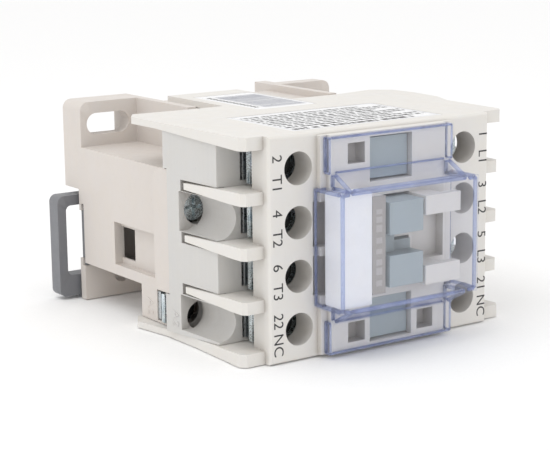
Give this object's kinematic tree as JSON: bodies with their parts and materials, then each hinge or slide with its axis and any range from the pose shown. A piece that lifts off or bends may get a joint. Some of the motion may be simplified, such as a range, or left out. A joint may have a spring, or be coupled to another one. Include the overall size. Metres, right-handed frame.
{
  "type": "din rail contactor",
  "caption": "Compact rail-mount contactor with screw terminals on both sides, moving contact carrier, magnet and coil, spring rail clip and clear push-on cover.",
  "frame": {"origin": "centre of the bounding box in X and Y, on the plane the part lies on (Z = 0)", "axes": "lying on its side: -Y is the front with the clear cover, +Y the rail side, -X the load terminals, +X the line terminals, +Z the left-hand side of the contactor as it hangs on a rail. To hang it on a rail, turn it a quarter turn about Y so that +X points up"},
  "size_m": [0.0738, 0.0864, 0.045],
  "materials": {
    "housing_front": "warm white moulded thermoplastic, fine texture",
    "housing_contact": "cool grey-white moulded thermoset",
    "housing_base": "pinkish beige moulded thermoplastic",
    "marker_white": "pure white, smooth",
    "strip_grey": "warm grey, fine texture",
    "label": "matt printed film",
    "cover_clear": "clear polycarbonate with a faint blue-violet edge",
    "carrier_grey": "blue-grey moulded plastic",
    "clip_grey": "dark grey moulded plastic",
    "zinc_steel": "blue-passivated zinc plate",
    "spring_steel": "drawn wire",
    "core_steel": "laminated silicon steel, ground pole faces",
    "contact_plated": "tin-plated brass strip",
    "contact_silver": "silver alloy button",
    "ring_copper": "copper",
    "winding_copper": "enamelled copper wire",
    "bobbin_black": "glass-filled nylon",
    "damper_rubber": "matt rubber"
  },
  "bodies": {
    "root": {"front_housing": "housing_front", "contact_housing": "housing_contact", "base_housing": "housing_base", "marker_plate": "marker_white", "name_strip": "strip_grey", "rating_label": "label", "serial_label": "label", "housing_screws": "zinc_steel", "din_clip_spring": "spring_steel", "fixed_core": "core_steel", "shading_rings": "ring_copper", "core_dampers": "damper_rubber", "coil_bobbin": "bobbin_black", "coil_winding": "winding_copper", "coil_terminal_a1": "contact_plated", "coil_terminal_a2": "contact_plated", "coil_leads": "winding_copper", "coil_clamp_screws": "zinc_steel", "coil_clamp_washers": "zinc_steel", "return_springs": "spring_steel", "load_contact_tips": "contact_silver", "line_contact_tips": "contact_silver", "load_terminal_screws": "zinc_steel", "line_terminal_screws": "zinc_steel", "load_clamp_washers": "zinc_steel", "line_clamp_washers": "zinc_steel", "load_contact_pole_1": "contact_plated", "line_contact_pole_1": "contact_plated", "load_contact_pole_2": "contact_plated", "line_contact_pole_2": "contact_plated", "load_contact_pole_3": "contact_plated", "line_contact_pole_3": "contact_plated", "load_contact_pole_4": "contact_plated", "line_contact_pole_4": "contact_plated"},
    "carrier": {"contact_carrier": "carrier_grey", "armature": "core_steel", "armature_pin": "zinc_steel", "contact_spring_pole_1": "spring_steel", "contact_spring_pole_2": "spring_steel", "contact_spring_pole_3": "spring_steel", "contact_spring_pole_4": "spring_steel"},
    "din_clip": {"din_clip": "clip_grey"},
    "cover": {"transparent_cover": "cover_clear"},
    "bridge_1": {"moving_bridge_pole_1": "contact_plated", "bridge_tips_pole_1": "contact_silver"},
    "bridge_2": {"moving_bridge_pole_2": "contact_plated", "bridge_tips_pole_2": "contact_silver"},
    "bridge_3": {"moving_bridge_pole_3": "contact_plated", "bridge_tips_pole_3": "contact_silver"},
    "bridge_4": {"moving_bridge_pole_4": "contact_plated", "bridge_tips_pole_4": "contact_silver"}
  },
  "joints": [
    {"name": "carrier_slide", "type": "slide", "parent": "root", "child": "carrier", "axis": [0, 1, 0], "range_m": [0, 0.005], "stiffness_N_per_m": 800, "springref_m": -0.004, "deforming": ["return_springs"]},
    {"name": "din_clip_slide", "type": "slide", "parent": "root", "child": "din_clip", "axis": [-1, 0, 0], "range_m": [0, 0.003], "stiffness_N_per_m": 1500, "springref_m": -0.002, "deforming": ["din_clip_spring"]},
    {"name": "cover_slide", "type": "slide", "parent": "root", "child": "cover", "axis": [0, -1, 0], "range_m": [0, 0.012]},
    {"name": "bridge_1_slide", "type": "slide", "parent": "carrier", "child": "bridge_1", "axis": [0, 1, 0], "range_m": [-0.00152, 0], "deforming": ["contact_spring_pole_1"]},
    {"name": "bridge_2_slide", "type": "slide", "parent": "carrier", "child": "bridge_2", "axis": [0, 1, 0], "range_m": [-0.00152, 0], "deforming": ["contact_spring_pole_2"]},
    {"name": "bridge_3_slide", "type": "slide", "parent": "carrier", "child": "bridge_3", "axis": [0, 1, 0], "range_m": [-0.00152, 0], "deforming": ["contact_spring_pole_3"]},
    {"name": "bridge_4_slide", "type": "slide", "parent": "carrier", "child": "bridge_4", "axis": [0, 1, 0], "range_m": [-0.00152, 0], "deforming": ["contact_spring_pole_4"]}
  ],
  "couplings": [
    {"joint": "bridge_1_slide", "follows": "carrier_slide", "ratio": -0.302},
    {"joint": "bridge_2_slide", "follows": "carrier_slide", "ratio": -0.302},
    {"joint": "bridge_3_slide", "follows": "carrier_slide", "ratio": -0.302},
    {"joint": "bridge_4_slide", "follows": "carrier_slide", "ratio": -0.302}
  ]
}
